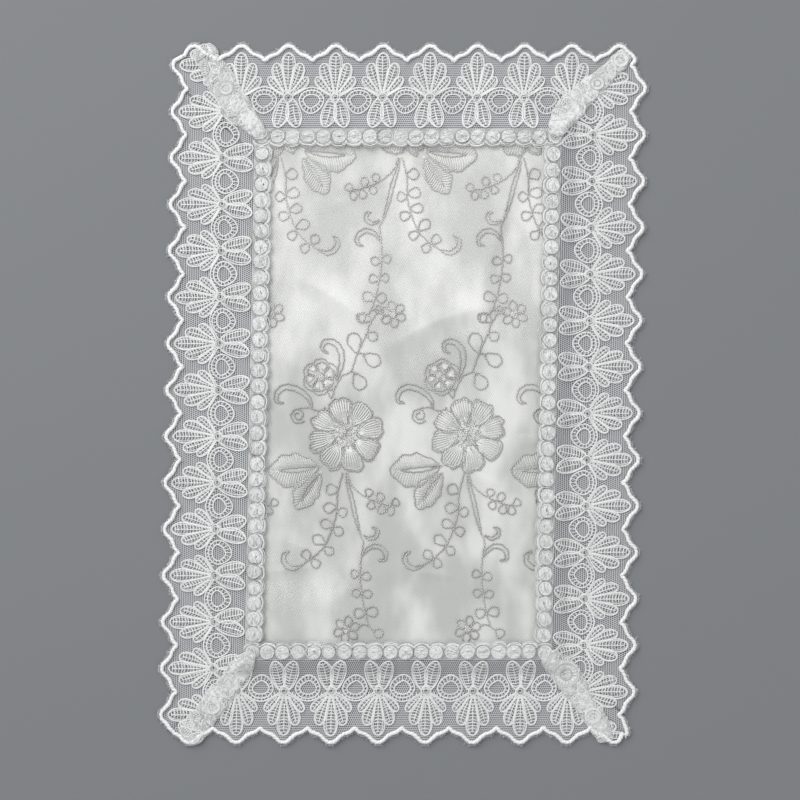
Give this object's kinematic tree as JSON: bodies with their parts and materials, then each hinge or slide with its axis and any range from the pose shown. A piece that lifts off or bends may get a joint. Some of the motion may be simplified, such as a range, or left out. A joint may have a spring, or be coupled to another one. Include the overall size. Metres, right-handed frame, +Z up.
{
  "type": "lace-edged ring bearer pad",
  "caption": "Flat white satin pad with corded flower embroidery under a clear film and a wide scalloped lace border with mitred corners; rings are laid or tied on it.",
  "frame": {"origin": "middle of the underside, on the surface that the pad lies on", "axes": "+X across the pad, +Y along its length towards the mirrored row of sprays, +Z up out of the embroidered face"},
  "size_m": [0.317, 0.4534, 0.0058],
  "materials": {
    "white_satin": "warm white polyester satin with a soft cloudy sheen",
    "wadding": "thin matt white polyester wadding",
    "clear_film": "thin clear flexible film, glossy",
    "white_net": "fine white hexagonal tulle net",
    "lace_thread": "bright white rayon embroidery thread, outlined and ladder-filled",
    "edge_cord": "thick white satin-stitched scalloped cord",
    "embroidery_thread": "slightly grey corded embroidery thread",
    "sewing_thread": "white polyester sewing thread"
  },
  "bodies": {
    "root": {"clear_film": "clear_film", "edge_cord_bottom": "edge_cord", "edge_cord_left": "edge_cord", "edge_cord_right": "edge_cord", "edge_cord_top": "edge_cord", "left_spray_broad_leaf": "embroidery_thread", "left_spray_curled_spray": "embroidery_thread", "left_spray_falling_stem": "embroidery_thread", "left_spray_large_flower": "embroidery_thread", "left_spray_narrow_leaf": "embroidery_thread", "left_spray_rising_stem": "embroidery_thread", "left_spray_rosette": "embroidery_thread", "left_spray_short_spray": "embroidery_thread", "left_spray_star_flower": "embroidery_thread", "mitre_fold_bottom_left": "lace_thread", "mitre_fold_bottom_right": "lace_thread", "mitre_fold_top_left": "lace_thread", "mitre_fold_top_right": "lace_thread", "net_strip_bottom": "white_net", "net_strip_left": "white_net", "net_strip_right": "white_net", "net_strip_top": "white_net", "palmette_row_bottom": "lace_thread", "palmette_row_left": "lace_thread", "palmette_row_right": "lace_thread", "palmette_row_top": "lace_thread", "right_spray_broad_leaf": "embroidery_thread", "right_spray_curled_spray": "embroidery_thread", "right_spray_falling_stem": "embroidery_thread", "right_spray_large_flower": "embroidery_thread", "right_spray_narrow_leaf": "embroidery_thread", "right_spray_rising_stem": "embroidery_thread", "right_spray_rosette": "embroidery_thread", "right_spray_short_spray": "embroidery_thread", "right_spray_star_flower": "embroidery_thread", "ring_row_bottom": "lace_thread", "ring_row_left": "lace_thread", "ring_row_right": "lace_thread", "ring_row_top": "lace_thread", "satin_backing": "white_satin", "satin_face": "white_satin", "seam_thread": "sewing_thread", "upper_left_spray_curled_spray": "embroidery_thread", "upper_left_spray_narrow_leaf": "embroidery_thread", "upper_right_spray_falling_stem": "embroidery_thread", "upper_right_spray_star_flower": "embroidery_thread", "upper_spray_curled_spray": "embroidery_thread", "upper_spray_falling_stem": "embroidery_thread", "upper_spray_narrow_leaf": "embroidery_thread", "upper_spray_star_flower": "embroidery_thread", "wadding": "wadding"}
  },
  "joints": []
}
